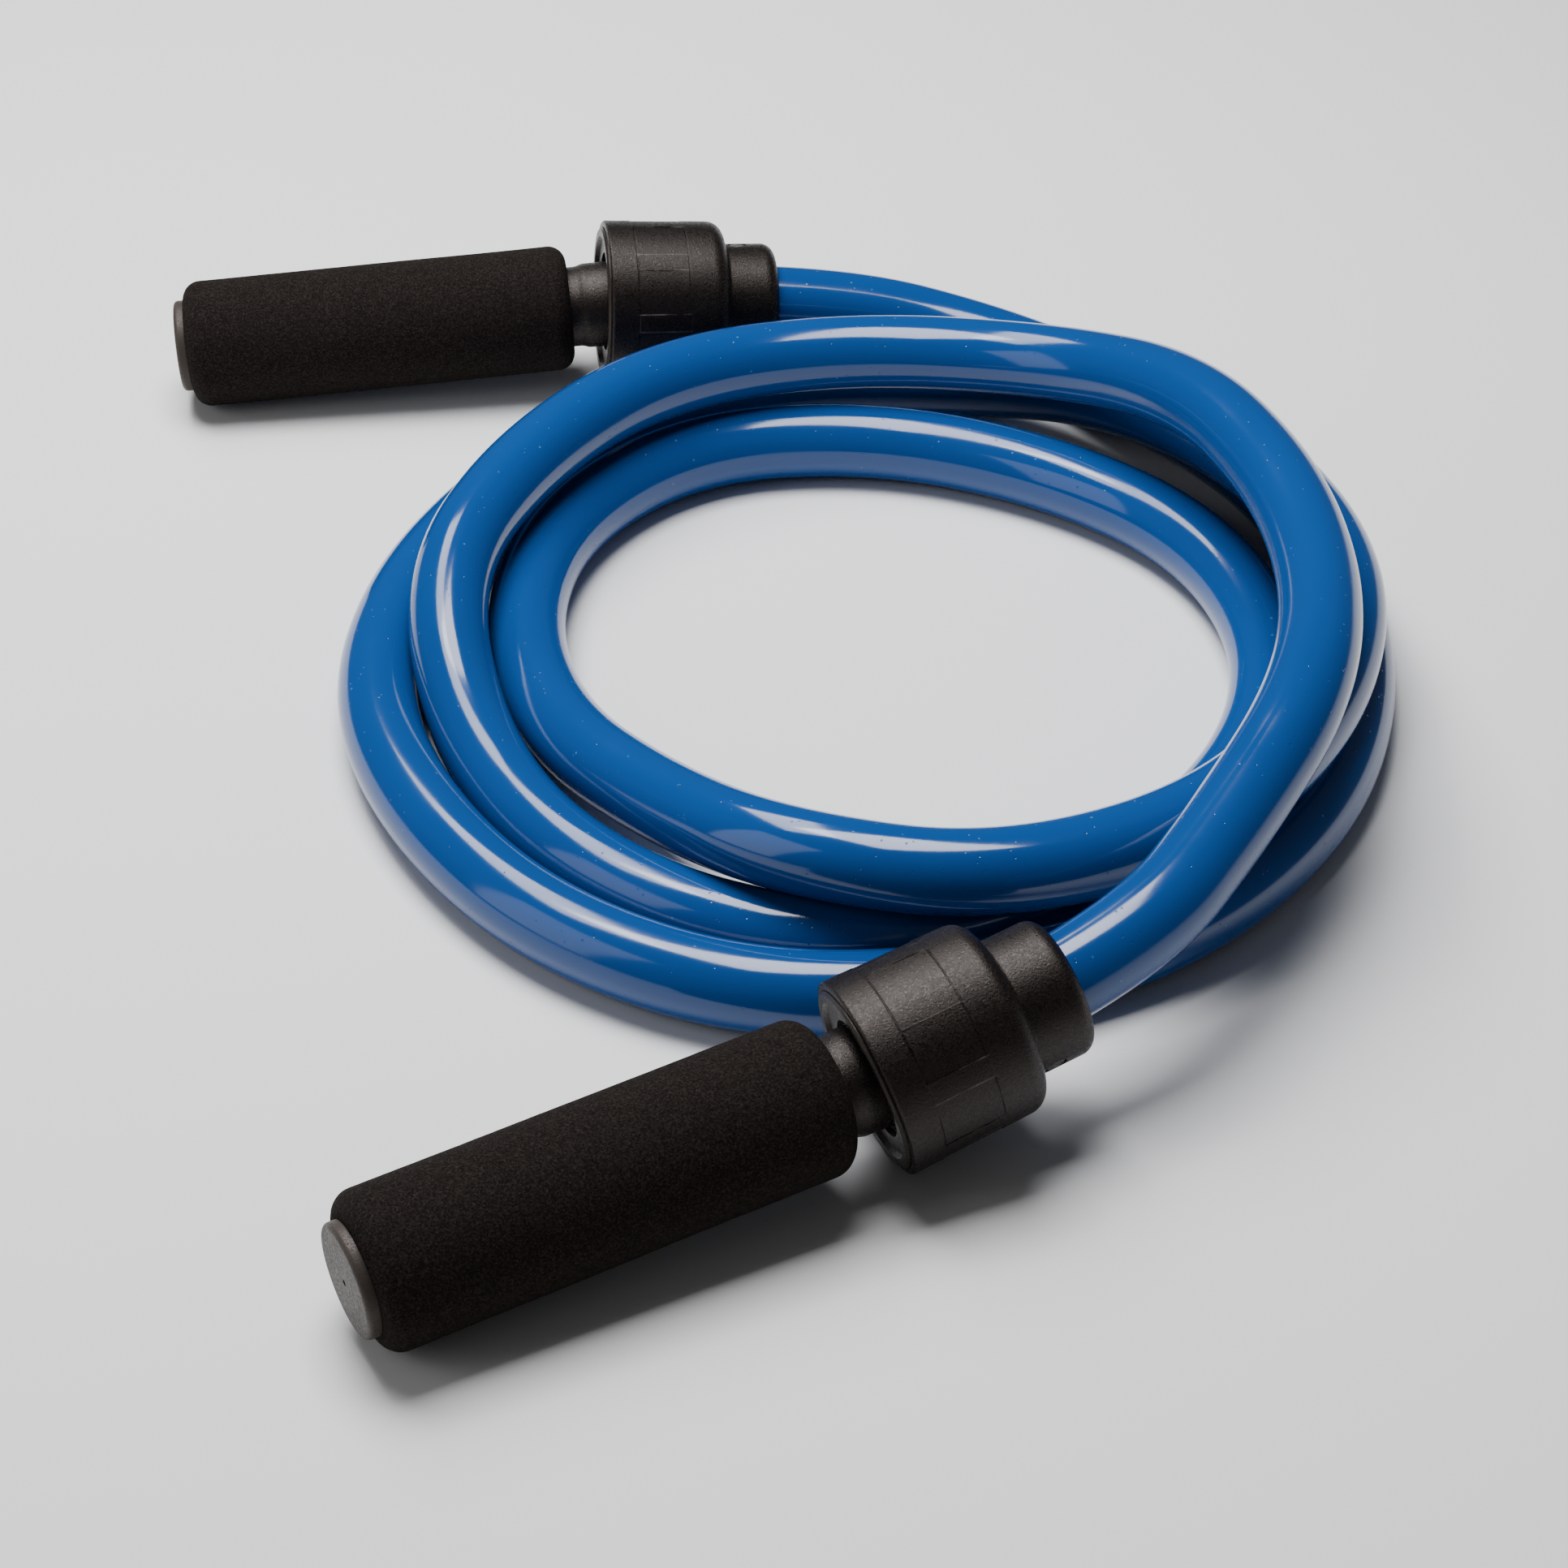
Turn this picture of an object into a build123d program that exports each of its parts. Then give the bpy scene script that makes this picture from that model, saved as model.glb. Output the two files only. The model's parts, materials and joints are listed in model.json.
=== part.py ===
from build123d import *
import math
import os

# Weighted jump rope: two equal swivel handles joined by one thick, loosely coiled rope.
# Millimetres, +Z up. The floor is z = 0, and the origin lies under the middle of the handles.
# Along each handle, "station" is the distance from the outer face of its end cap. The bearing
# aligns itself, so the grip and the swivel housing have an axis each, crossing at its middle.

os.makedirs("parts", exist_ok=True)

# ---- driving dimensions ----

# Rope
ROPE_R = 11.0
ROPE_BORE_GAP = 0.3

# End cap: a round head over the foam's end and a plug inside the tube
CAP_R = 13.9
CAP_HEAD = 3.0
CAP_EDGE = 1.3
CAP_PLUG = 20.0
CAP_PLUG_CHAMFER = 1.0
CAP_GATE_R = 0.8
CAP_GATE_DEPTH = 0.4

# Foam sleeve
FOAM_R = 19.4
FOAM_END = 121.5
FOAM_ROUND = 5.5

# Core: the tube under the foam, the neck, and the spindle that carries the bearing
TUBE_R = 12.3
TUBE_BORE_R = 9.0
TUBE_BORE_END = 112.0
NECK_FLARE_START = 123.4
NECK_FLARE_END = 127.0
NECK_R = 13.0
SHOULDER_R = 10.4
SHOULDER = 1.0
SPINDLE_SHORT = 0.4
SPINDLE_CHAMFER = 1.0

# Self-aligning bearing, 17 x 35 x 10: the outer race is a part of a sphere inside, and a lip
# of it reaches forward under the retainer's slots
BEARING_START = 135.4
BEARING_BORE_R = 8.5
BEARING_R = 17.5
BEARING_WIDTH = 10.0
INNER_LAND_R = 11.0
BALL_PITCH_R = 13.0
BALL_R = 2.38
BALL_GROOVE_R = 2.46
BALL_COUNT = 9
CAGE_HALF_THICKNESS = 0.8
CAGE_WIDTH = 6.4
CAGE_POCKET_R = 2.46
RACE_LIP_START = 133.9
RACE_LIP_R = 15.1

# Swivel housing
RIM = 132.0
RIM_R = 24.9
DRAFT_END = 161.0
DRAFT_END_R = 24.4
NOZZLE_START = 169.0
NOZZLE_END = 185.2
NOZZLE_R = 17.3
SHOULDER_ROUND = 5.0
SHOULDER_STEP = 0.1
NOZZLE_FOOT_ROUND = 1.2
NOZZLE_END_ROUND = 4.0
RIM_ROUND = 0.8
HOUSING_CAVITY_R = 15.8
CAVITY_END = 155.4
ROPE_BORE_START = 158.6
NOZZLE_LIP = 1.0

# Shallow panels around the housing and a cove behind them
PANEL_COUNT = 8
PANEL_ANGLE = 32.0
PANEL_START = 140.3
PANEL_END = 156.2
PANEL_DEPTH = 0.15
COVE_STATION = 159.2
COVE_R = 3.0
COVE_DEPTH = 0.25

# Retainer: the slotted disc in the housing's open end that holds the bearing in
RETAINER_PROUD = 0.9
FLANGE_R = 22.9
FLANGE_SEAT = 133.6
FLANGE_GAP = 0.15
FLANGE_EDGE = 0.6
PLUG_R = 19.6
PLUG_BORE_R = 17.6
PLUG_SEAT_R = 19.75
RETAINER_HOLE_R = 15.1
DISH_R = 19.6
DISH_DRAFT = 0.6
DISH_FLOOR = 132.4
SLOT_COUNT = 8
SLOT_INNER_R = 16.1
SLOT_OUTER_R = 18.9
SLOT_ANGLE = 26.0

# Screw and washer that clamp the inner race, both inside the housing
SCREW_R = 4.0
SCREW_LENGTH = 20.0
SCREW_HEAD_R = 6.5
SCREW_HEAD = 5.0
SCREW_HEX = 6.0
SCREW_HEX_DEPTH = 3.0
SCREW_TIP_ROOM = 2.0
WASHER_R = 10.4
WASHER_GAP = 0.2
WASHER = 1.6

# Pin across the nozzle and the rope
PIN_R = 2.7
PIN_HOLE_R = 2.85
PIN_STATION = 173.6
PIN_RECESS = 0.25
PIN_CHAMFER = 0.3

# Cutting shapes reach this far past what they cut
CUT_MARGIN = 1.0

# ---- where the parts follow from each other ----

BEARING_END = BEARING_START + BEARING_WIDTH
BEARING_MIDDLE = BEARING_START + BEARING_WIDTH / 2
WASHER_END = BEARING_END + WASHER
SCREW_HEAD_END = WASHER_END + SCREW_HEAD

# The rounded end of the foam that lies on the floor turns about this station and radius.
FOAM_REST = CAP_HEAD + FOAM_ROUND
FOAM_REST_R = FOAM_R - FOAM_ROUND

# The two rounded edges of the housing that can lie on the floor: how far the middle of the
# round is beyond the bearing's middle, the edge's radius and its round.
SHOULDER_EDGE_R = DRAFT_END_R - SHOULDER_STEP
HOUSING_EDGES = [
    (RIM + RIM_ROUND - BEARING_MIDDLE, RIM_R, RIM_ROUND),
    (NOZZLE_START - SHOULDER_ROUND - BEARING_MIDDLE, SHOULDER_EDGE_R, SHOULDER_ROUND),
]


class Spindle:
    """An axis through a bearing's middle, with stations along it and clock angles round it."""

    def __init__(self, middle, heading, lean):
        flat = math.radians(heading)
        rise = math.radians(lean)
        self.along = Vector(
            math.cos(rise) * math.cos(flat),
            math.cos(rise) * math.sin(flat),
            math.sin(rise),
        )
        self.across_level = Vector(math.sin(flat), -math.cos(flat), 0)
        self.start = middle - self.along * BEARING_MIDDLE
        self.axis = Axis(self.start, self.along)

    def point(self, station):
        """The point of the axis at a station."""
        return self.start + self.along * station

    def radial(self, clock):
        """A unit vector out from the axis. Clock 0 is level, 90 is up."""
        return self.across_level.rotate(Axis((0, 0, 0), self.along), -clock)

    def section(self, clock=0.0):
        """A plane through the axis: x is the radius and y is the station."""
        x_dir = self.radial(clock)
        return Plane(self.start, x_dir=x_dir, z_dir=x_dir.cross(self.along))

    def across(self, station, clock=0.0):
        """A plane square to the axis at a station, facing the rope."""
        return Plane(self.point(station), x_dir=self.radial(clock), z_dir=self.along)


class Handle:
    """Where one handle lies: on the rounded end of its foam and on an edge of its housing."""

    def __init__(self, side, middle, headings, housing_lean, pin_clock, panel_clock):
        self.side = side
        self.pin_clock = pin_clock
        self.panel_clock = panel_clock
        slope = math.radians(housing_lean)
        height = max(
            edge_round + (edge_r - edge_round) * math.cos(slope) - reach * math.sin(slope)
            for reach, edge_r, edge_round in HOUSING_EDGES
        )
        foam_reach = BEARING_MIDDLE - FOAM_REST
        grip_lean = math.asin((height - FOAM_ROUND) / math.hypot(foam_reach, FOAM_REST_R))
        grip_lean -= math.atan2(FOAM_REST_R, foam_reach)
        centre = Vector(middle[0], middle[1], height)
        self.grip = Spindle(centre, headings[0], math.degrees(grip_lean))
        self.swivel = Spindle(centre, headings[1], housing_lean)


def save(builder, name):
    """Label a finished piece and write it."""
    builder.part.label = name
    export_step(builder.part, f"parts/{name}.step")


# ---- the grip, which turns in the hand ----


def make_end_cap(handle):
    with BuildPart() as end_cap:
        with BuildSketch(handle.grip.section()):
            with BuildLine():
                Polyline(
                    (0, CAP_GATE_DEPTH),
                    (CAP_GATE_R, CAP_GATE_DEPTH),
                    (CAP_GATE_R, 0),
                    (CAP_R - CAP_EDGE, 0),
                )
                RadiusArc((CAP_R - CAP_EDGE, 0), (CAP_R, CAP_EDGE), -CAP_EDGE)
                Polyline(
                    (CAP_R, CAP_EDGE),
                    (CAP_R, CAP_HEAD),
                    (TUBE_BORE_R, CAP_HEAD),
                    (TUBE_BORE_R, CAP_HEAD + CAP_PLUG - CAP_PLUG_CHAMFER),
                    (TUBE_BORE_R - CAP_PLUG_CHAMFER, CAP_HEAD + CAP_PLUG),
                    (0, CAP_HEAD + CAP_PLUG),
                    (0, CAP_GATE_DEPTH),
                )
            make_face()
        revolve(axis=handle.grip.axis)
    save(end_cap, f"end_cap_{handle.side}")


def make_foam_grip(handle):
    with BuildPart() as foam_grip:
        with BuildSketch(handle.grip.section()):
            with BuildLine():
                Polyline(
                    (FOAM_R - FOAM_ROUND, CAP_HEAD),
                    (TUBE_R, CAP_HEAD),
                    (TUBE_R, FOAM_END),
                    (FOAM_R - FOAM_ROUND, FOAM_END),
                )
                RadiusArc(
                    (FOAM_R - FOAM_ROUND, FOAM_END),
                    (FOAM_R, FOAM_END - FOAM_ROUND),
                    FOAM_ROUND,
                )
                Line((FOAM_R, FOAM_END - FOAM_ROUND), (FOAM_R, CAP_HEAD + FOAM_ROUND))
                RadiusArc(
                    (FOAM_R, CAP_HEAD + FOAM_ROUND),
                    (FOAM_R - FOAM_ROUND, CAP_HEAD),
                    FOAM_ROUND,
                )
            make_face()
        revolve(axis=handle.grip.axis)
    save(foam_grip, f"foam_grip_{handle.side}")


def make_handle_core(handle):
    spindle_end = BEARING_END - SPINDLE_SHORT
    screw_hole_end = WASHER_END - SCREW_LENGTH - SCREW_TIP_ROOM
    neck_end = BEARING_START - SHOULDER
    flare_rise = NECK_R - TUBE_R
    flare_length = NECK_FLARE_END - NECK_FLARE_START
    flare_r = (flare_length**2 + flare_rise**2) / (4 * flare_rise)
    flare_middle = (TUBE_R + flare_rise / 2, NECK_FLARE_START + flare_length / 2)
    with BuildPart() as handle_core:
        with BuildSketch(handle.grip.section()):
            with BuildLine():
                Polyline(
                    (TUBE_BORE_R, TUBE_BORE_END),
                    (TUBE_BORE_R, CAP_HEAD),
                    (TUBE_R, CAP_HEAD),
                    (TUBE_R, NECK_FLARE_START),
                )
                RadiusArc((TUBE_R, NECK_FLARE_START), flare_middle, flare_r)
                RadiusArc(flare_middle, (NECK_R, NECK_FLARE_END), -flare_r)
                Polyline(
                    (NECK_R, NECK_FLARE_END),
                    (NECK_R, neck_end),
                    (SHOULDER_R, neck_end),
                    (SHOULDER_R, BEARING_START),
                    (BEARING_BORE_R, BEARING_START),
                    (BEARING_BORE_R, spindle_end - SPINDLE_CHAMFER),
                    (BEARING_BORE_R - SPINDLE_CHAMFER, spindle_end),
                    (SCREW_R, spindle_end),
                    (SCREW_R, screw_hole_end),
                    (0, screw_hole_end),
                    (0, TUBE_BORE_END),
                    (TUBE_BORE_R, TUBE_BORE_END),
                )
            make_face()
        revolve(axis=handle.grip.axis)
    save(handle_core, f"handle_core_{handle.side}")


# ---- the bearing ----


def make_bearing_races(handle):
    with BuildPart() as inner_race:
        with BuildSketch(handle.grip.section()):
            with Locations(((BEARING_BORE_R + INNER_LAND_R) / 2, BEARING_MIDDLE)):
                Rectangle(INNER_LAND_R - BEARING_BORE_R, BEARING_WIDTH)
            with Locations((BALL_PITCH_R, BEARING_MIDDLE)):
                Circle(BALL_GROOVE_R, mode=Mode.SUBTRACT)
        revolve(axis=handle.grip.axis)
    save(inner_race, f"bearing_inner_race_{handle.side}")

    # the outer race belongs to the housing, and its inside is a part of a sphere
    with BuildPart() as outer_race:
        with BuildSketch(handle.swivel.section()):
            with Locations((BEARING_R / 2, BEARING_MIDDLE)):
                Rectangle(BEARING_R, BEARING_WIDTH)
            with Locations((0, BEARING_MIDDLE)):
                Circle(BALL_PITCH_R + BALL_GROOVE_R, mode=Mode.SUBTRACT)
            with Locations(((RACE_LIP_R + BEARING_R) / 2, (RACE_LIP_START + BEARING_START) / 2)):
                Rectangle(BEARING_R - RACE_LIP_R, BEARING_START - RACE_LIP_START)
        revolve(axis=handle.swivel.axis)
    save(outer_race, f"bearing_outer_race_{handle.side}")


def make_bearing_cage(handle):
    with BuildPart() as bearing_cage:
        with BuildSketch(handle.grip.section()):
            with Locations((BALL_PITCH_R, BEARING_MIDDLE)):
                Rectangle(2 * CAGE_HALF_THICKNESS, CAGE_WIDTH)
        revolve(axis=handle.grip.axis)
        for index in range(BALL_COUNT):
            pocket = handle.grip.section(index * 360 / BALL_COUNT)
            centre = pocket.from_local_coords((BALL_PITCH_R, BEARING_MIDDLE, 0))
            with BuildSketch(Plane(centre, z_dir=pocket.x_dir)):
                Circle(CAGE_POCKET_R)
            extrude(amount=2 * CAGE_HALF_THICKNESS, both=True, mode=Mode.SUBTRACT)
    save(bearing_cage, f"bearing_cage_{handle.side}")


def make_bearing_balls(handle):
    with BuildPart() as bearing_balls:
        with Locations(handle.grip.across(BEARING_MIDDLE)):
            with PolarLocations(BALL_PITCH_R, BALL_COUNT):
                Sphere(BALL_R)
    save(bearing_balls, f"bearing_balls_{handle.side}")


def make_spindle_fixings(handle):
    with BuildPart() as spindle_washer:
        with BuildSketch(handle.grip.across(BEARING_END)):
            Circle(WASHER_R)
            Circle(SCREW_R + WASHER_GAP, mode=Mode.SUBTRACT)
        extrude(amount=WASHER)
    save(spindle_washer, f"spindle_washer_{handle.side}")

    with BuildPart() as spindle_screw:
        with BuildSketch(handle.grip.across(WASHER_END)):
            Circle(SCREW_HEAD_R)
        extrude(amount=SCREW_HEAD)
        with BuildSketch(handle.grip.across(WASHER_END)):
            Circle(SCREW_R)
        extrude(amount=-SCREW_LENGTH)
        with BuildSketch(handle.grip.across(SCREW_HEAD_END)):
            RegularPolygon(SCREW_HEX / 2, 6, major_radius=False)
        extrude(amount=-SCREW_HEX_DEPTH, mode=Mode.SUBTRACT)
    save(spindle_screw, f"spindle_screw_{handle.side}")


# ---- the swivel housing and its retainer ----


def housing_radius(station):
    """Outside radius of the drafted body of the housing."""
    share = (station - RIM) / (DRAFT_END - RIM)
    return RIM_R + (DRAFT_END_R - RIM_R) * share


def make_swivel_housing(handle):
    with BuildPart() as swivel_housing:
        with BuildSketch(handle.swivel.section()):
            with BuildLine():
                Line((FLANGE_R + FLANGE_GAP, RIM), (RIM_R - RIM_ROUND, RIM))
                RadiusArc((RIM_R - RIM_ROUND, RIM), (RIM_R, RIM + RIM_ROUND), -RIM_ROUND)
                Polyline(
                    (RIM_R, RIM + RIM_ROUND),
                    (DRAFT_END_R, DRAFT_END),
                    (SHOULDER_EDGE_R, NOZZLE_START - SHOULDER_ROUND),
                )
                RadiusArc(
                    (SHOULDER_EDGE_R, NOZZLE_START - SHOULDER_ROUND),
                    (SHOULDER_EDGE_R - SHOULDER_ROUND, NOZZLE_START),
                    -SHOULDER_ROUND,
                )
                Line(
                    (SHOULDER_EDGE_R - SHOULDER_ROUND, NOZZLE_START),
                    (NOZZLE_R + NOZZLE_FOOT_ROUND, NOZZLE_START),
                )
                RadiusArc(
                    (NOZZLE_R + NOZZLE_FOOT_ROUND, NOZZLE_START),
                    (NOZZLE_R, NOZZLE_START + NOZZLE_FOOT_ROUND),
                    NOZZLE_FOOT_ROUND,
                )
                Line(
                    (NOZZLE_R, NOZZLE_START + NOZZLE_FOOT_ROUND),
                    (NOZZLE_R, NOZZLE_END - NOZZLE_END_ROUND),
                )
                RadiusArc(
                    (NOZZLE_R, NOZZLE_END - NOZZLE_END_ROUND),
                    (NOZZLE_R - NOZZLE_END_ROUND, NOZZLE_END),
                    -NOZZLE_END_ROUND,
                )
                Polyline(
                    (NOZZLE_R - NOZZLE_END_ROUND, NOZZLE_END),
                    (ROPE_R + ROPE_BORE_GAP + NOZZLE_LIP, NOZZLE_END),
                    (ROPE_R + ROPE_BORE_GAP, NOZZLE_END - NOZZLE_LIP),
                    (ROPE_R + ROPE_BORE_GAP, ROPE_BORE_START),
                    (0, ROPE_BORE_START),
                    (0, CAVITY_END),
                    (HOUSING_CAVITY_R, CAVITY_END),
                    (HOUSING_CAVITY_R, BEARING_END),
                    (BEARING_R, BEARING_END),
                    (BEARING_R, BEARING_START),
                    (PLUG_SEAT_R, BEARING_START),
                    (PLUG_SEAT_R, FLANGE_SEAT),
                    (FLANGE_R + FLANGE_GAP, FLANGE_SEAT),
                    (FLANGE_R + FLANGE_GAP, RIM),
                )
            make_face()
        revolve(axis=handle.swivel.axis)

        # shallow panels all round the drafted body
        for index in range(PANEL_COUNT):
            start = handle.panel_clock + index * 360 / PANEL_COUNT
            with BuildSketch(handle.swivel.section(start)):
                Polygon(
                    (housing_radius(PANEL_START) - PANEL_DEPTH, PANEL_START),
                    (RIM_R + CUT_MARGIN, PANEL_START),
                    (RIM_R + CUT_MARGIN, PANEL_END),
                    (housing_radius(PANEL_END) - PANEL_DEPTH, PANEL_END),
                    align=None,
                )
            revolve(axis=handle.swivel.axis, revolution_arc=PANEL_ANGLE, mode=Mode.SUBTRACT)

        # soft cove
        with BuildSketch(handle.swivel.section()):
            with Locations((housing_radius(COVE_STATION) + COVE_R - COVE_DEPTH, COVE_STATION)):
                Circle(COVE_R)
        revolve(axis=handle.swivel.axis, mode=Mode.SUBTRACT)

        # hole for the rope pin, right across the nozzle
        with BuildSketch(pin_plane(handle)):
            Circle(PIN_HOLE_R)
        extrude(amount=NOZZLE_R + CUT_MARGIN, both=True, mode=Mode.SUBTRACT)
    save(swivel_housing, f"swivel_housing_{handle.side}")


def make_retainer(handle):
    slot_middle_r = (SLOT_INNER_R + SLOT_OUTER_R) / 2
    with BuildPart() as retainer:
        with BuildSketch(handle.swivel.section()):
            with BuildLine():
                Polyline(
                    (RETAINER_HOLE_R, DISH_FLOOR),
                    (DISH_R, DISH_FLOOR),
                    (DISH_R + DISH_DRAFT, RIM - RETAINER_PROUD),
                    (FLANGE_R - FLANGE_EDGE, RIM - RETAINER_PROUD),
                    (FLANGE_R, RIM - RETAINER_PROUD + FLANGE_EDGE),
                    (FLANGE_R, FLANGE_SEAT),
                    (PLUG_R, FLANGE_SEAT),
                    (PLUG_R, BEARING_START),
                    (PLUG_BORE_R, BEARING_START),
                    (PLUG_BORE_R, RACE_LIP_START),
                    (RETAINER_HOLE_R, RACE_LIP_START),
                    close=True,
                )
            make_face()
        revolve(axis=handle.swivel.axis)
        with BuildSketch(handle.swivel.across(DISH_FLOOR - CUT_MARGIN)):
            for index in range(SLOT_COUNT):
                start = index * 360 / SLOT_COUNT - SLOT_ANGLE / 2
                SlotArc(
                    CenterArc((0, 0), slot_middle_r, start, SLOT_ANGLE),
                    SLOT_OUTER_R - SLOT_INNER_R,
                )
        extrude(amount=BEARING_START - DISH_FLOOR + 2 * CUT_MARGIN, mode=Mode.SUBTRACT)
    save(retainer, f"bearing_retainer_{handle.side}")


# ---- the rope and its pins ----


def pin_plane(handle):
    """A plane through the housing's axis with the rope pin along its normal."""
    swivel = handle.swivel
    return Plane(swivel.point(PIN_STATION), z_dir=swivel.radial(handle.pin_clock))


def make_rope_pin(handle):
    with BuildPart() as rope_pin:
        with BuildSketch(pin_plane(handle)):
            Circle(PIN_R)
        extrude(amount=NOZZLE_R - PIN_RECESS, both=True)
        chamfer(rope_pin.edges().filter_by(GeomType.CIRCLE), PIN_CHAMFER)
    save(rope_pin, f"rope_pin_{handle.side}")


# The rope's route. It leaves the far handle, runs three and a half turns clockwise seen from
# above, and goes back into the near handle. Heights of 11 lie on the floor.
ROPE_ROUTE = [
    # out of the far nozzle
    (27.76, 208.88, 24.59),
    (72.20, 215.36, 21.61),
    # first turn, the outermost, on the floor
    (125, 207, 11),
    (165, 172, 11),
    (201, 127, 11),
    (216, 72, 11),
    (215, 13, 11),
    (196, -42, 11),
    (157, -87, 11),
    (105, -110, 11),
    (49, -113, 11),
    (-2, -87, 11),
    (-37, -42, 11),
    (-56, 10, 11),
    (-52, 64, 11),
    (-30, 114, 11),
    (3, 157, 11),
    (52, 183, 11),
    (110, 184, 11),
    # second turn climbs over the first and lies on it
    (157, 154, 25),
    (195, 103, 33),
    (214, 41, 34),
    (201, -21, 33),
    (165, -71, 33),
    (110, -96, 34),
    (58, -84, 33.3),
    (25, -47.5, 21.5),
    # third turn, the innermost, on the floor
    (-5.5, -2.5, 13),
    (-18, 52, 11),
    (-7, 105, 11),
    (30, 144, 11),
    (84, 150, 11),
    (136, 131, 11),
    (177, 95, 11),
    (194, 42, 11),
    (185, -11, 11),
    (154, -58, 11),
    (107, -87, 11),
    (51, -91, 11),
    (1.8, -60, 11),
    (-27.2, -8.5, 11),
    # last half turn, on top of the others
    (-39, 46, 29),
    (-18, 101, 34),
    (20, 148, 34),
    (77, 165, 33),
    (138, 151, 37),
    (174, 110, 52),
    (194, 58, 55),
    (200, 6, 55),
    (191, -48, 58),
    (168, -88, 48),
    # into the near nozzle
    (140.35, -129.93, 40.74),
    (100.27, -147.53, 30.32),
]

# An arc takes up this share of the shorter of the two runs that meet at its point.
ARC_SHARE = 0.45


def arc_radii(route):
    """The largest radius that the runs allow at each inner point of a route."""
    points = [Vector(*point) for point in route]
    radii = []
    for before, corner, after in zip(points, points[1:], points[2:]):
        turn = math.radians((corner - before).get_angle(after - corner))
        shorter = min((corner - before).length, (after - corner).length)
        radii.append(ARC_SHARE * shorter / math.tan(turn / 2))
    return radii


def make_rope(handles):
    radii = arc_radii(ROPE_ROUTE)
    start = Vector(*ROPE_ROUTE[0])
    heading = Vector(*ROPE_ROUTE[1]) - start
    with BuildPart() as rope:
        with BuildLine() as route:
            FilletPolyline(*ROPE_ROUTE, radius=radii)
        with BuildSketch(Plane(start, z_dir=heading)):
            Circle(ROPE_R)
        sweep(path=route.wires()[0])
        swept = rope.part.volume
        for handle in handles:
            with BuildSketch(pin_plane(handle)):
                Circle(PIN_R)
            extrude(amount=NOZZLE_R, both=True, mode=Mode.SUBTRACT)
    length = route.wires()[0].length
    print(f"rope: length {length:.0f} mm, smallest radius {min(radii):.0f} mm")
    print("rope radii:", [round(radius) for radius in radii])
    print(f"rope: volume / (section x length) = {swept / (math.pi * ROPE_R**2 * length):.4f}")
    save(rope, "rope")


HANDLES = [
    Handle(
        "far",
        middle=(9.4, 206.2),
        headings=(6.6, 8.3),
        housing_lean=-3.8,
        pin_clock=108.0,
        panel_clock=6.0,
    ),
    Handle(
        "near",
        middle=(83.7, -154.8),
        headings=(27.9, 23.7),
        housing_lean=13.4,
        pin_clock=-30.0,
        panel_clock=16.0,
    ),
]

for placed in HANDLES:
    make_end_cap(placed)
    make_foam_grip(placed)
    make_handle_core(placed)
    make_bearing_races(placed)
    make_bearing_cage(placed)
    make_bearing_balls(placed)
    make_spindle_fixings(placed)
    make_swivel_housing(placed)
    make_retainer(placed)
    make_rope_pin(placed)
make_rope(HANDLES)
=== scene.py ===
import json
import math
import bpy
import numpy as np
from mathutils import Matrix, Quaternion, Vector


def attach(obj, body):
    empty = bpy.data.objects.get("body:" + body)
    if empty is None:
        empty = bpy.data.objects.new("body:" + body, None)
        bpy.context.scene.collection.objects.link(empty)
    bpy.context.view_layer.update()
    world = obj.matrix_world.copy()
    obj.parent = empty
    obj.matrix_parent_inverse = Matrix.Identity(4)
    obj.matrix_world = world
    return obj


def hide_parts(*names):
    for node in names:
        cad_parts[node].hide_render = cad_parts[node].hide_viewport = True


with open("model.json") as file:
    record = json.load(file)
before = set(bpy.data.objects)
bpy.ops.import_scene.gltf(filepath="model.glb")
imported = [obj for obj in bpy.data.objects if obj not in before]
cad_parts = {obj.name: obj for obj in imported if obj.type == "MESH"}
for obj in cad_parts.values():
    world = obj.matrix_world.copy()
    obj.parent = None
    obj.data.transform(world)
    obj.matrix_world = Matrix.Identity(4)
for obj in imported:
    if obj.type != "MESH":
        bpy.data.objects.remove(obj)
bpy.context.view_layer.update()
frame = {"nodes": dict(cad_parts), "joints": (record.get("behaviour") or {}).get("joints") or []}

# ---- where things are ----

# Stations run along each handle from the outer face of its end cap, in metres.
HINGE_STATION = 0.1404
FOAM_START = 0.0030
FOAM_END = 0.1215
FOAM_R = 0.0194
FOAM_ROUND = 0.0055
TUBE_R = 0.0123

# The foam sleeve's mesh: its spacing, and the depth of its open cells and of its slow waviness,
# whose sizes along and round the sleeve are in mesh steps.
FOAM_STEP = 0.00055
FOAM_CELL_DEPTH = 0.00004
FOAM_CELL_SIZE = (2.2, 2.2)
FOAM_WAVE_DEPTH = 0.00012
FOAM_WAVE_SIZE = (40.0, 60.0)
FOAM_SEED = {"far": 11, "near": 23}
# The height above the tube at which they reach full depth, the shares of it taken inwards and
# endways, and how near to an end the surface also sinks endways.
FOAM_FADE = 0.002
FOAM_SINK_IN = 0.9
FOAM_SINK_ENDWAYS = 0.4
FOAM_FACE_DEPTH = 0.001

# The housing: its heading and lean in degrees, and its eight shallow panels.
HOUSING_TILT = {"far": (8.3, -3.8), "near": (23.7, 13.4)}
PANEL_CLOCK = {"far": 6.0, "near": 16.0}
PANEL_PITCH = 45.0
PANEL_ANGLE = 32.0
PANEL_START = 0.1403
PANEL_END = 0.1562
DRAG_END = 0.153

# Where the rope leaves the handle.
ROPE_START = 0.159

ROPE_R = 0.011
ROPE_SMOOTHNESS = 14

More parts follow.
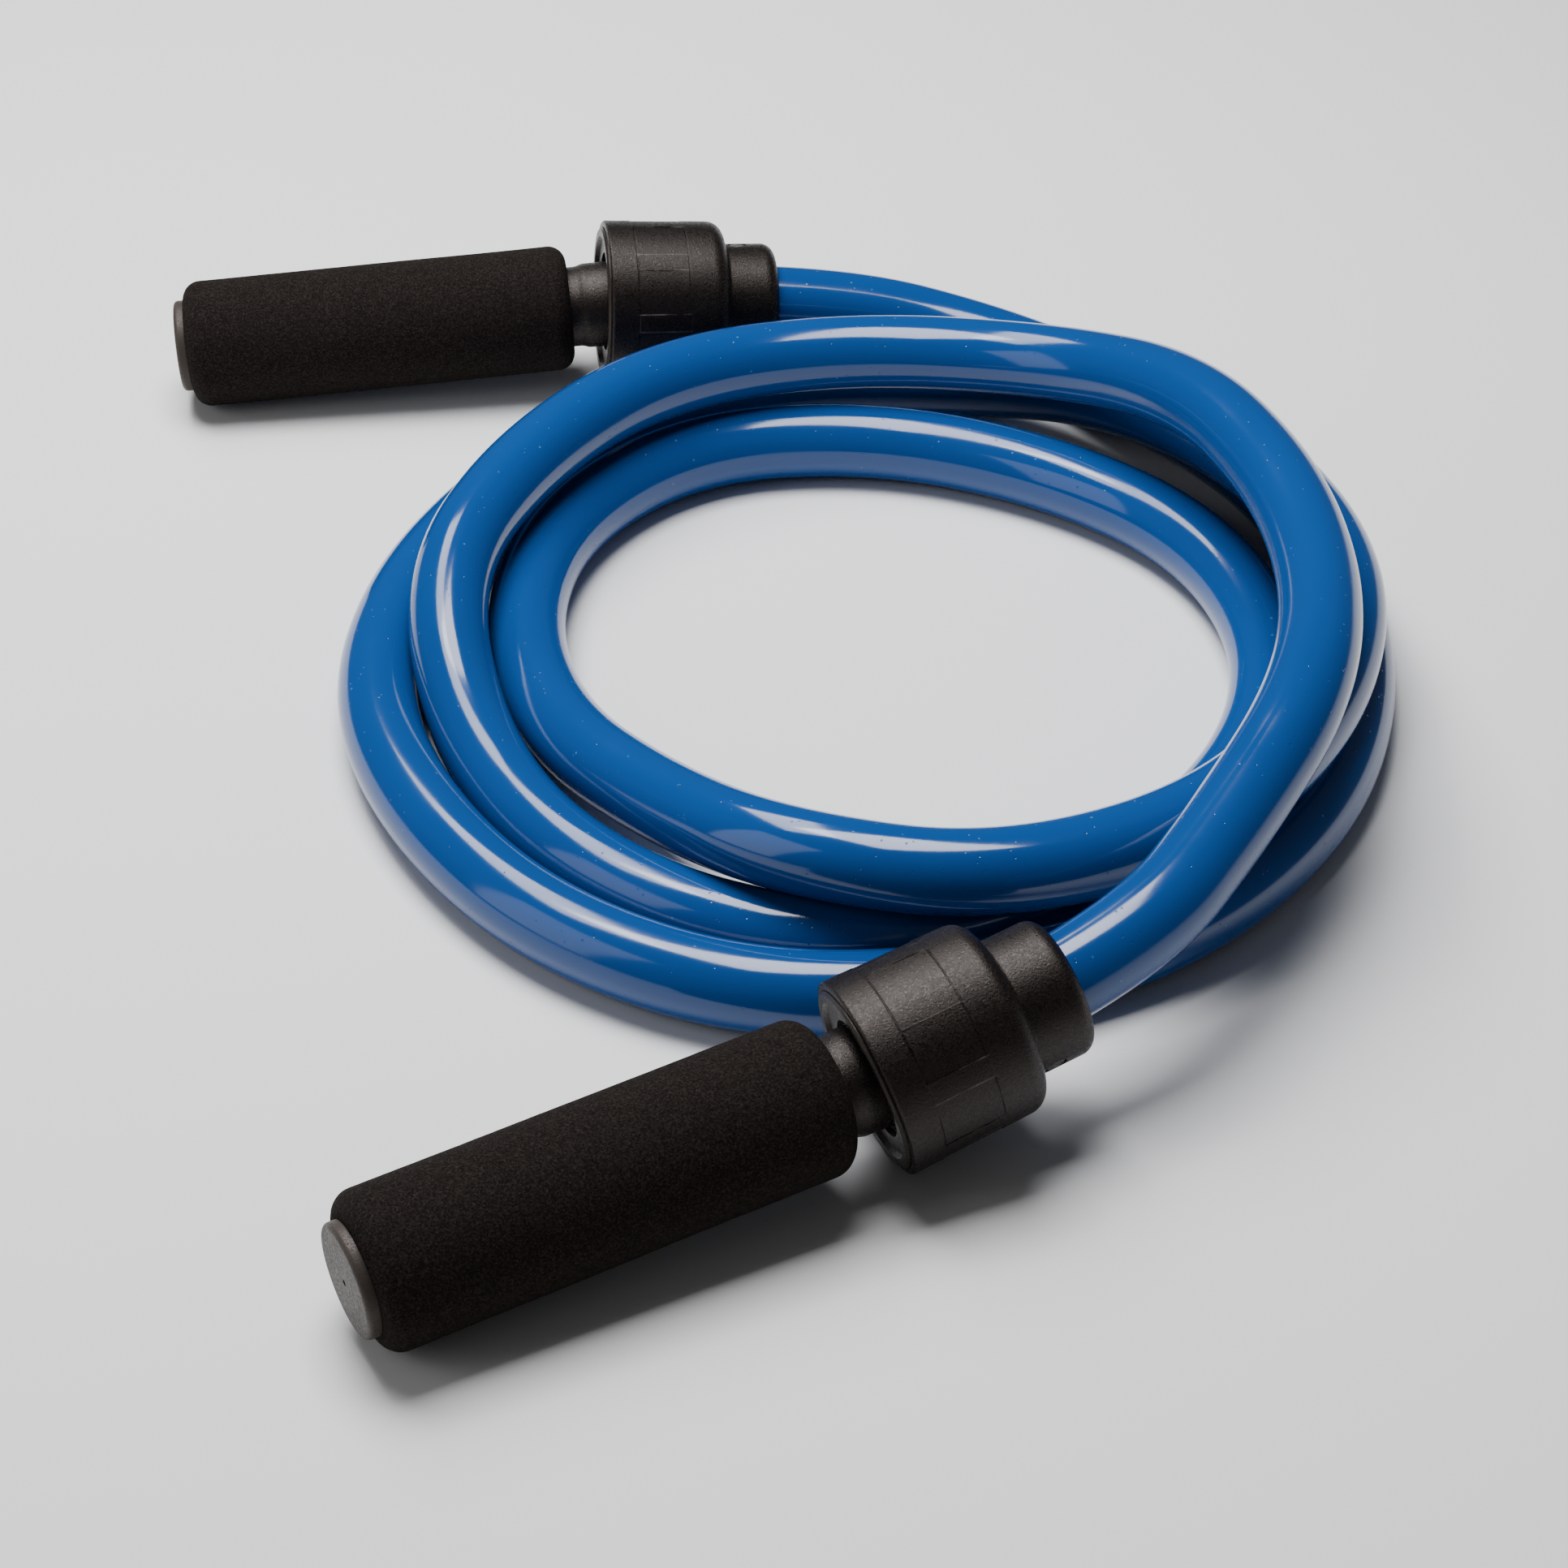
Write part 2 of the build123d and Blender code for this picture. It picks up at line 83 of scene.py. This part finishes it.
# The rope's route, in metres: the same points as the CAD tube's.
ROPE_ROUTE = [
    # out of the far nozzle
    (0.02776, 0.20888, 0.02459),
    (0.07220, 0.21536, 0.02161),
    # first turn, the outermost, on the floor
    (0.125, 0.207, 0.011),
    (0.165, 0.172, 0.011),
    (0.201, 0.127, 0.011),
    (0.216, 0.072, 0.011),
    (0.215, 0.013, 0.011),
    (0.196, -0.042, 0.011),
    (0.157, -0.087, 0.011),
    (0.105, -0.110, 0.011),
    (0.049, -0.113, 0.011),
    (-0.002, -0.087, 0.011),
    (-0.037, -0.042, 0.011),
    (-0.056, 0.010, 0.011),
    (-0.052, 0.064, 0.011),
    (-0.030, 0.114, 0.011),
    (0.003, 0.157, 0.011),
    (0.052, 0.183, 0.011),
    (0.110, 0.184, 0.011),
    # second turn climbs over the first and lies on it
    (0.157, 0.154, 0.025),
    (0.195, 0.103, 0.033),
    (0.214, 0.041, 0.034),
    (0.201, -0.021, 0.033),
    (0.165, -0.071, 0.033),
    (0.110, -0.096, 0.034),
    (0.058, -0.084, 0.0333),
    (0.025, -0.0475, 0.0215),
    # third turn, the innermost, on the floor
    (-0.0055, -0.0025, 0.013),
    (-0.018, 0.052, 0.011),
    (-0.007, 0.105, 0.011),
    (0.030, 0.144, 0.011),
    (0.084, 0.150, 0.011),
    (0.136, 0.131, 0.011),
    (0.177, 0.095, 0.011),
    (0.194, 0.042, 0.011),
    (0.185, -0.011, 0.011),
    (0.154, -0.058, 0.011),
    (0.107, -0.087, 0.011),
    (0.051, -0.091, 0.011),
    (0.0018, -0.060, 0.011),
    (-0.0272, -0.0085, 0.011),
    # last half turn, on top of the others
    (-0.039, 0.046, 0.029),
    (-0.018, 0.101, 0.034),
    (0.020, 0.148, 0.034),
    (0.077, 0.165, 0.033),
    (0.138, 0.151, 0.037),
    (0.174, 0.110, 0.052),
    (0.194, 0.058, 0.055),
    (0.200, 0.006, 0.055),
    (0.191, -0.048, 0.058),
    (0.168, -0.088, 0.048),
    # into the near nozzle
    (0.14035, -0.12993, 0.04074),
    (0.10027, -0.14753, 0.03032),
]


class Spindle:
    """An axis through a bearing's middle, its start at station 0, with its own level and up directions."""

    def __init__(self, middle, along):
        self.along = along.normalized()
        self.start = middle - self.along * HINGE_STATION
        self.level = self.along.cross(Vector((0, 0, 1))).normalized()
        self.up = self.level.cross(self.along)

    def point(self, station):
        """The place on the axis at a station."""
        return self.start + self.along * station


class Handle:
    """One handle: the grip turns about the hinge's axis, and the housing has an axis of its own."""

    def __init__(self, side):
        joint = next(j for j in frame["joints"] if j["name"] == f"grip_turn_{side}")
        heading, lean = (math.radians(angle) for angle in HOUSING_TILT[side])
        middle = Vector(joint["pos_m"])
        flat = Vector((math.cos(heading), math.sin(heading), 0))
        self.side = side
        self.grip = Spindle(middle, Vector(joint["axis"]))
        self.housing = Spindle(middle, flat * math.cos(lean) + Vector((0, 0, math.sin(lean))))


HANDLES = [Handle("far"), Handle("near")]

# ---- camera ----

CAMERA_TARGET = Vector((0.0572, -0.0106, 0.0))
CAMERA_DISTANCE = 1.0089
CAMERA_ELEVATION = math.radians(36.8)
CAMERA_LENS = 85.98
SENSOR_WIDTH = 36.0
NEAR_CLIP = 0.01


def add_camera():
    """A long lens that looks down at the coil from the front."""
    data = bpy.data.cameras.new("camera")
    data.lens = CAMERA_LENS
    data.sensor_width = SENSOR_WIDTH
    data.clip_start = NEAR_CLIP
    camera = bpy.data.objects.new("camera", data)
    bpy.context.scene.collection.objects.link(camera)
    back = Vector((0, -math.cos(CAMERA_ELEVATION), math.sin(CAMERA_ELEVATION)))
    camera.location = CAMERA_TARGET + back * CAMERA_DISTANCE
    camera.rotation_euler = (math.pi / 2 - CAMERA_ELEVATION, 0, 0)
    bpy.context.scene.camera = camera


# ---- materials ----

# Sockets of Blender's Mix node when it mixes colours: names repeat there, so they go by number.
MIX_COLOURS = slice(6, 8)
MIX_RESULT = 2


class Shader:
    """A material with one Principled shader, and short ways to add its nodes."""

    def __init__(self, name):
        self.material = bpy.data.materials.new(name)
        self.material.use_nodes = True
        self.tree = self.material.node_tree
        self.tree.nodes.clear()
        self.output = self.add("ShaderNodeOutputMaterial")
        self.surface = self.add("ShaderNodeBsdfPrincipled")
        self.link(self.surface.outputs["BSDF"], self.output.inputs["Surface"])
        self.place = self.add("ShaderNodeTexCoord").outputs["Object"]

    def add(self, kind, **settings):
        node = self.tree.nodes.new(kind)
        for key, value in settings.items():
            setattr(node, key, value)
        return node

    def link(self, source, target):
        self.tree.links.new(source, target)

    def set(self, **values):
        """Constants on the shader's own sockets, an underscore standing for a space."""
        for name, value in values.items():
            self.surface.inputs[name.replace("_", " ")].default_value = value

    def noise(self, scale, detail=2.0, roughness=0.5, where=None):
        """Smooth noise from 0 to 1, in the object's own metres or at the vector given."""
        node = self.add("ShaderNodeTexNoise")
        node.inputs["Scale"].default_value = scale
        node.inputs["Detail"].default_value = detail
        node.inputs["Roughness"].default_value = roughness
        self.link(where or self.place, node.inputs["Vector"])
        return node.outputs["Fac"]

    def cells(self, scale):
        """A cell pattern: its outputs are each cell's random colour and the distance to its point."""
        node = self.add("ShaderNodeTexVoronoi", feature="F1")
        node.inputs["Scale"].default_value = scale
        self.link(self.place, node.inputs["Vector"])
        return node

    def cell_distance(self, scale):
        """The distance to the nearest cell's point, in cells."""
        return self.cells(scale).outputs["Distance"]

    def cell_values(self, scale):
        """One random value from 0 to 1 in each cell."""
        node = self.cells(scale)
        split = self.add("ShaderNodeSeparateColor")
        self.link(node.outputs["Color"], split.inputs["Color"])
        return split.outputs["Red"]

    def ramp(self, source, low, high, start=0.0, end=1.0):
        """start where the source is low or less, end where it is high or more, and straight between."""
        node = self.add("ShaderNodeMapRange")
        node.inputs["From Min"].default_value = low
        node.inputs["From Max"].default_value = high
        node.inputs["To Min"].default_value = start
        node.inputs["To Max"].default_value = end
        self.link(source, node.inputs["Value"])
        return node.outputs["Result"]

    def math(self, operation, first, second=0.0):
        node = self.add("ShaderNodeMath", operation=operation)
        for socket, value in zip(node.inputs, (first, second)):
            if isinstance(value, (int, float)):
                socket.default_value = value
            else:
                self.link(value, socket)
        return node.outputs["Value"]

    def dot(self, vector, direction):
        """How far a vector reaches along a direction."""
        node = self.add("ShaderNodeVectorMath", operation="DOT_PRODUCT")
        node.inputs[1].default_value = direction
        self.link(vector, node.inputs[0])
        return node.outputs["Value"]

    def from_point(self, point):
        """The vector from a point to the place on the surface."""
        node = self.add("ShaderNodeVectorMath", operation="SUBTRACT")
        node.inputs[1].default_value = point
        self.link(self.place, node.inputs[0])
        return node.outputs["Vector"]

    def combine(self, x, y, z):
        node = self.add("ShaderNodeCombineXYZ")
        for socket, value in zip(node.inputs, (x, y, z)):
            self.link(value, socket)
        return node.outputs["Vector"]

    def mix(self, factor, first, second):
        """A colour from first, at a factor of 0, to second, at 1."""
        node = self.add("ShaderNodeMix", data_type="RGBA")
        self.link(factor, node.inputs["Factor"])
        for socket, value in zip(node.inputs[MIX_COLOURS], (first, second)):
            if isinstance(value, tuple):
                socket.default_value = (*value, 1.0)
            else:
                self.link(value, socket)
        return node.outputs[MIX_RESULT]

    def bump(self, height, distance):
        """Relief that stands a distance high, in metres, where the height is 1."""
        node = self.add("ShaderNodeBump")
        node.inputs["Distance"].default_value = distance
        self.link(height, node.inputs["Height"])
        self.link(node.outputs["Normal"], self.surface.inputs["Normal"])

    def to(self, source, name):
        """Drive one of the shader's inputs."""
        self.link(source, self.surface.inputs[name])


def rope_material():
    """Glossy blue PVC: deep blue, faint long variation, pale dust specks and fine surface pits."""
    s = Shader("rope_pvc")
    drift = s.noise(9.0, detail=3.0)
    blue = s.mix(drift, (0.0, 0.044, 0.185), (0.0, 0.053, 0.222))
    specks = s.ramp(s.cell_distance(210.0), 0.05, 0.10, 1.0, 0.0)
    sparse = s.ramp(s.noise(60.0, detail=1.0), 0.60, 0.64)
    dust = s.math("MULTIPLY", specks, sparse)
    s.to(s.mix(dust, blue, (0.05, 0.16, 0.33)), "Base Color")
    s.to(s.ramp(s.noise(35.0, detail=4.0), 0.3, 0.7, 0.10, 0.17), "Roughness")
    pits = s.ramp(s.cell_distance(420.0), 0.06, 0.14, 0.0, 1.0)
    pit_mask = s.ramp(s.noise(140.0, detail=1.0), 0.50, 0.56)
    dents = s.math("MULTIPLY", s.math("SUBTRACT", pits, 1.0), pit_mask)
    ripple = s.math("MULTIPLY", s.noise(160.0, detail=3.0), 0.12)
    s.bump(s.math("ADD", dents, ripple), distance=0.00007)
    s.set(Coat_Weight=0.12, Coat_Roughness=0.06, IOR=1.5, Specular_IOR_Level=0.42)
    return s.material


def foam_material():
    """Black cellular foam: matte, with fine open cells, a random tone from cell to cell, and painted
    highlights as glints on its lightest cells.
    """
    s = Shader("foam_black")
    cell = s.cell_values(2800.0)
    # random tone from cell to cell; the lightest cells are painted glints, painted highlights of cells
    # catching the light
    shade = s.math("MULTIPLY", cell, s.ramp(s.noise(1500.0, detail=3.0), 0.35, 0.65, 0.3, 1.0))
    s.to(s.mix(shade, (0.0050, 0.0039, 0.0035), (0.0270, 0.0212, 0.0185)), "Base Color")
    s.set(Roughness=0.95, Specular_IOR_Level=0.06)
    s.bump(s.noise(2000.0, detail=3.0, roughness=0.7), distance=0.00022)
    return s.material


# How much glossier or duller than the mean a grain facet can be.
FACET_GLOSS = 0.12


def grained(s, scale, depth, rough, relief=None):
    """Spark-eroded grain that sparkles: random small facets over a fine noise and any relief."""
    facets = s.cell_values(scale)
    fine = s.noise(scale * 0.9, detail=3.0, roughness=0.7)
    height = s.math("ADD", s.math("MULTIPLY", facets, 0.5), fine)
    s.bump(s.math("ADD", height, relief) if relief else height, depth)
    s.to(s.ramp(facets, 0.0, 1.0, rough + FACET_GLOSS, rough - FACET_GLOSS), "Roughness")


# The tint of the black plastics' highlights.
WARM_SHEEN = (1.0, 0.88, 0.82, 1.0)


def plastic_material(name, dark, light, rough, grain_scale, grain_depth, specular):
    """Moulded plastic with a grain and slight colour drift."""
    s = Shader(name)
    s.to(s.mix(s.noise(70.0, detail=4.0), dark, light), "Base Color")
    grained(s, grain_scale, grain_depth, rough)
    s.set(Specular_IOR_Level=specular, Specular_Tint=WARM_SHEEN)
    return s.material


# The housing's painted light: half the angle of each of a panel's two painted highlight lines along its
# edges, in degrees, and how far from its middle a crease, a shallow dip with painted shade in it, stays
# full and has faded out, in metres.
WIDE_EDGE_ANGLE = 0.9
THIN_EDGE_ANGLE = 0.7
CREASE_CORE = 0.00010
CREASE_REACH = 0.00028


def housing_material(handle, housing):
    """Grained black plastic with painted highlights along the panels' edges, painted shade in the creases
    at the panels' ends, and fine drag lines.
    """
    s = Shader(f"housing_plastic_{handle.side}")
    spindle = handle.housing
    to_local = housing.matrix_world.inverted()
    turn = to_local.to_3x3()
    away = s.from_point(to_local @ spindle.start)
    station = s.dot(away, turn @ spindle.along)
    rise = s.dot(away, turn @ spindle.up)
    level = s.dot(away, turn @ spindle.level)
    clock = s.math("MULTIPLY", s.math("ARCTAN2", rise, level), 180.0 / math.pi)

    def edge_line(edge_clock, half_width):
        """1 on a thin line along the housing at this clock angle and at each panel pitch from it."""
        # four and a half pitches back keeps the angle positive, with each line in mid-pitch
        shifted = s.math("SUBTRACT", clock, edge_clock - 4.5 * PANEL_PITCH)
        wrapped = s.math("MODULO", shifted, PANEL_PITCH)
        offset = s.math("ABSOLUTE", s.math("SUBTRACT", wrapped, PANEL_PITCH / 2))
        return s.ramp(offset, 0.0, half_width, 1.0, 0.0)

    def within(low, high, soft):
        """1 between two stations, fading out at both ends."""
        return s.math(
            "MULTIPLY",
            s.ramp(station, low - soft, low + soft),
            s.ramp(station, high - soft, high + soft, 1.0, 0.0),
        )

    def crease(place):
        """1 on a fine line round the housing at a station, broken here and there."""
        off = s.math("ABSOLUTE", s.math("SUBTRACT", station, place))
        line = s.ramp(off, CREASE_CORE, CREASE_REACH, 1.0, 0.0)
        return s.math("MULTIPLY", line, s.ramp(s.noise(60.0), 0.38, 0.52))

    # painted highlights: thin lighter lines along the panels' edges, standing in for light caught on them,
    # broken here and there
    first_edge = PANEL_CLOCK[handle.side]
    first_line = edge_line(first_edge, WIDE_EDGE_ANGLE)
    second_line = edge_line(first_edge - PANEL_ANGLE, THIN_EDGE_ANGLE)
    lines = s.math("MAXIMUM", first_line, second_line)
    broken = s.ramp(s.noise(130.0, detail=3.0), 0.42, 0.62)
    broken_lines = s.math("MULTIPLY", lines, broken)
    painted_edge_highlights = s.math("MULTIPLY", broken_lines, within(PANEL_START, PANEL_END, soft=0.0008))

    # drag marks run along the housing: fine in the clock direction, long in the station direction
    ribbons = s.combine(s.math("MULTIPLY", clock, 0.035), s.math("MULTIPLY", station, 9.0), rise)
    drag = s.ramp(s.noise(26.0, detail=3.0, roughness=0.7, where=ribbons), 0.60, 0.72)
    drag_mask = s.ramp(s.noise(38.0, detail=1.0), 0.50, 0.62)
    masked_drag = s.math("MULTIPLY", drag, drag_mask)
    drags = s.math("MULTIPLY", masked_drag, within(PANEL_START, DRAG_END, soft=0.002))
    # the painted edge highlights together with the real drag marks
    edge_highlights_and_drags = s.math("MAXIMUM", s.math("MULTIPLY", painted_edge_highlights, 0.75), s.math("MULTIPLY", drags, 0.16))

    body = s.mix(s.noise(70.0, detail=4.0), (0.0036, 0.0025, 0.0021), (0.0066, 0.0048, 0.0040))
    creases = s.math("MAXIMUM", crease(PANEL_START), s.math("MULTIPLY", crease(PANEL_END), 0.5))
    # painted shade: the body darkened in the creases at the panels' start and end, where the dips fall
    # into shadow
    crease_shaded_body = s.mix(creases, body, (0.0008, 0.0006, 0.0005))
    # the painted edge highlights and the drag marks lighten the colour here
    s.to(s.mix(edge_highlights_and_drags, crease_shaded_body, (0.15, 0.13, 0.12)), "Base Color")
    grained(s, scale=2100.0, depth=0.00015, rough=0.36, relief=s.math("MULTIPLY", creases, -1.2))
    s.set(Specular_IOR_Level=0.30, Specular_Tint=WARM_SHEEN)
    return s.material


def steel_material(name, colour, rough):
    """Ground steel with a slightly uneven colour, gloss and surface."""
    s = Shader(name)
    shade = tuple(channel * 0.82 for channel in colour)
    s.to(s.mix(s.noise(300.0, detail=3.0), colour, shade), "Base Color")
    s.to(s.ramp(s.noise(900.0, detail=2.0), 0.3, 0.7, rough, rough + 0.12), "Roughness")
    s.bump(s.noise(2500.0, detail=1.0), distance=0.00001)
    s.set(Metallic=1.0)
    return s.material


def floor_material():
    """Plain pale grey, with a very slow drift."""
    s = Shader("floor_pale")
    s.to(s.mix(s.noise(3.0, detail=3.0), (0.78, 0.78, 0.78), (0.80, 0.80, 0.80)), "Base Color")
    s.set(Roughness=0.7, Specular_IOR_Level=0.2)
    return s.material


def paint(obj, material):
    obj.data.materials.clear()
    obj.data.materials.append(material)


# ---- pieces ----


def add_rope():
    """The whole rope as one NURBS line with a round section."""
    data = bpy.data.curves.new("rope_line", "CURVE")
    data.dimensions = "3D"
    spline = data.splines.new("NURBS")
    spline.points.add(len(ROPE_ROUTE) - 1)
    for point, place in zip(spline.points, ROPE_ROUTE):
        point.co = (*place, 1.0)
    spline.order_u = 3
    spline.use_endpoint_u = True
    data.resolution_u = ROPE_SMOOTHNESS
    data.bevel_depth = ROPE_R
    data.bevel_resolution = ROPE_SMOOTHNESS
    data.use_fill_caps = True
    rope = bpy.data.objects.new("rope_body", data)
    bpy.context.scene.collection.objects.link(rope)
    paint(rope, rope_material())
    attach(rope, "root")
    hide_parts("rope")
    HANDLES[0].housing.point(ROPE_START)


def mesh_object(name, vertices, faces):
    data = bpy.data.meshes.new(name)
    data.from_pydata([tuple(vertex) for vertex in vertices], [], faces)
    data.validate()
    data.shade_smooth()
    obj = bpy.data.objects.new(name, data)
    bpy.context.scene.collection.objects.link(obj)
    return obj


def foam_profile():
    """Radius and station along the sleeve's outside, from the cap end round to the neck end."""
    inner = FOAM_R - FOAM_ROUND
    straight_start = FOAM_START + FOAM_ROUND
    straight = FOAM_END - FOAM_START - 2 * FOAM_ROUND
    quarter = max(4, int(FOAM_ROUND * math.pi / 2 / FOAM_STEP))
    middle = int(straight / FOAM_STEP)
    face = max(2, int((inner - TUBE_R) / FOAM_STEP))
    turns = [math.pi / 2 * i / quarter for i in range(quarter)]
    points = [(TUBE_R + (inner - TUBE_R) * i / face, FOAM_START) for i in range(face)]
    for turn in turns:
        rise = FOAM_ROUND * (1 - math.cos(turn))
        points.append((inner + FOAM_ROUND * math.sin(turn), FOAM_START + rise))
    points += [(FOAM_R, straight_start + straight * i / middle) for i in range(middle)]
    for turn in turns:
        rise = FOAM_ROUND * (1 - math.sin(turn))
        points.append((inner + FOAM_ROUND * math.cos(turn), FOAM_END - rise))
    points += [(inner - (inner - TUBE_R) * i / face, FOAM_END) for i in range(face + 1)]
    return points


def blurred_noise(rng, rows, columns, cell_rows, cell_columns):
    """Random heights from -1 to 1, smooth over a cell of the given size and closed round the sleeve."""
    field = rng.standard_normal((rows, columns))
    row_waves = np.fft.fftfreq(rows)[:, None] * cell_rows
    column_waves = np.fft.fftfreq(columns)[None, :] * cell_columns
    keep = np.exp(-2.0 * (row_waves**2 + column_waves**2) * math.pi)
    smooth = np.real(np.fft.ifft2(np.fft.fft2(field) * keep))
    return smooth / np.abs(smooth).max()


def foam_depth(side, radii, columns):
    """How far the surface is sunk at each point: fine open cells on a slow waviness."""
    rows = len(radii)
    rng = np.random.default_rng(FOAM_SEED[side])
    cells = blurred_noise(rng, rows, columns, *FOAM_CELL_SIZE)
    waves = blurred_noise(rng, rows, columns, *FOAM_WAVE_SIZE)
    # it fades out where the sleeve meets the tube, and only takes material away
    free = np.clip((radii - TUBE_R) / FOAM_FADE, 0.0, 1.0)
    return free * (FOAM_CELL_DEPTH * (1.0 + cells) + FOAM_WAVE_DEPTH * (1.0 + waves))


def add_foam(handle):
    """The foam sleeve: soft round ends, and open cells and a slight waviness in the mesh itself."""
    radii, stations = (np.array(values)[:, None] for values in zip(*foam_profile()))
    rows = len(radii)
    columns = int(2 * math.pi * FOAM_R / FOAM_STEP)
    depth = foam_depth(handle.side, radii, columns)
    clocks = np.linspace(0, 2 * math.pi, columns, endpoint=False)[None, :]
    from_middle = stations - (FOAM_START + FOAM_END) / 2
    on_end_face = np.abs(from_middle) > (FOAM_END - FOAM_START) / 2 - FOAM_FACE_DEPTH
    sunk_radii = radii - FOAM_SINK_IN * depth
    sunk_stations = stations - FOAM_SINK_ENDWAYS * depth * np.sign(from_middle) * on_end_face
    grip = handle.grip
    places = (
        np.array(grip.start)
        + sunk_stations[..., None] * np.array(grip.along)
        + (sunk_radii * np.cos(clocks))[..., None] * np.array(grip.level)
        + (sunk_radii * np.sin(clocks))[..., None] * np.array(grip.up)
    )
    faces = []
    for row in range(rows):
        here = row * columns
        below = (row + 1) % rows * columns
        for column in range(columns):
            beside = (column + 1) % columns
            faces.append((here + column, here + beside, below + beside, below + column))
    foam = mesh_object(f"foam_sleeve_{handle.side}", places.reshape(-1, 3), faces)
    paint(foam, FOAM)
    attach(foam, f"grip_{handle.side}")
    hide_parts(f"foam_grip_{handle.side}")


def paint_cad():
    """Each CAD node that stays shown gets its material."""
    for side in ("far", "near"):
        for name, material in CAD_MATERIALS.items():
            paint(frame["nodes"][f"{name}_{side}"], material)
    for handle in HANDLES:
        housing = frame["nodes"][f"swivel_housing_{handle.side}"]
        paint(housing, housing_material(handle, housing))


# ---- stage ----

FLOOR_SIZE = 12.0
WORLD_STRENGTH = 0.09

# Every light faces this place from this distance.
LIT_PLACE = Vector((0.06, 0.0, 0.0))
LIGHT_DISTANCE = 1.15
SOFTBOX_COLOUR = (0.975, 0.985, 1.0)
FILL_COLOUR = (1.0, 1.0, 1.0)


def add_floor():
    bpy.ops.mesh.primitive_plane_add(size=FLOOR_SIZE, location=(0, 0, 0))
    floor = bpy.context.object
    floor.name = "floor"
    paint(floor, floor_material())


def add_area_light(name, direction, size, watts, colour, roll=0.0):
    """A softbox that faces the coil from a direction, its first side level unless it is rolled."""
    data = bpy.data.lights.new(name, "AREA")
    data.shape = "RECTANGLE"
    data.size, data.size_y = size
    data.energy = watts
    data.color = colour
    light = bpy.data.objects.new(name, data)
    bpy.context.scene.collection.objects.link(light)
    outward = Vector(direction).normalized()
    facing = outward.to_track_quat("Z", "Y") @ Quaternion((0, 0, 1), math.radians(roll))
    light.location = LIT_PLACE + outward * LIGHT_DISTANCE
    light.rotation_euler = facing.to_euler()


def add_lights():
    add_area_light(
        "overhead",
        direction=(-0.10, 0.20, 1.0),
        size=(0.56, 0.62),
        watts=20.0,
        colour=SOFTBOX_COLOUR,
    )
    add_area_light(
        "back_left",
        direction=(-0.36, 0.42, 0.83),
        size=(0.30, 0.76),
        watts=9.0,
        colour=SOFTBOX_COLOUR,
        roll=130.4,
    )
    add_area_light(
        "left_fill",
        direction=(-1.4, -0.5, 0.7),
        size=(0.6, 0.9),
        watts=3.0,
        colour=FILL_COLOUR,
    )
    world = bpy.data.worlds.new("studio")
    world.use_nodes = True
    background = world.node_tree.nodes["Background"]
    background.inputs["Color"].default_value = (1.0, 1.0, 1.0, 1.0)
    background.inputs["Strength"].default_value = WORLD_STRENGTH
    bpy.context.scene.world = world


# ---- the scene ----

FOAM = foam_material()
RETAINER = plastic_material(
    "retainer_plastic",
    dark=(0.0085, 0.0062, 0.0051),
    light=(0.0150, 0.0115, 0.0096),
    rough=0.38,
    grain_scale=2400.0,
    grain_depth=0.00007,
    specular=0.34,
)
CORE = plastic_material(
    "core_plastic",
    dark=(0.0055, 0.0039, 0.0032),
    light=(0.0100, 0.0075, 0.0063),
    rough=0.36,
    grain_scale=2100.0,
    grain_depth=0.00016,
    specular=0.34,
)
CAP = plastic_material(
    "cap_plastic",
    dark=(0.0320, 0.0262, 0.0222),
    light=(0.0430, 0.0356, 0.0304),
    rough=0.50,
    grain_scale=2200.0,
    grain_depth=0.00005,
    specular=0.26,
)
PIN = plastic_material(
    "pin_plastic",
    dark=(0.0070, 0.0051, 0.0042),
    light=(0.0115, 0.0086, 0.0072),
    rough=0.36,
    grain_scale=2400.0,
    grain_depth=0.00006,
    specular=0.34,
)
STEEL = steel_material("bearing_steel", colour=(0.62, 0.61, 0.60), rough=0.16)
CAGE = steel_material("cage_steel", colour=(0.50, 0.49, 0.48), rough=0.30)
FIXINGS = steel_material("fixing_steel", colour=(0.45, 0.44, 0.42), rough=0.28)
CAD_MATERIALS = {
    "bearing_retainer": RETAINER,
    "handle_core": CORE,
    "end_cap": CAP,
    "rope_pin": PIN,
    "bearing_inner_race": STEEL,
    "bearing_outer_race": STEEL,
    "bearing_balls": STEEL,
    "bearing_cage": CAGE,
    "spindle_washer": FIXINGS,
    "spindle_screw": FIXINGS,
}

add_camera()
add_rope()
for placed in HANDLES:
    add_foam(placed)
paint_cad()
add_floor()
add_lights()
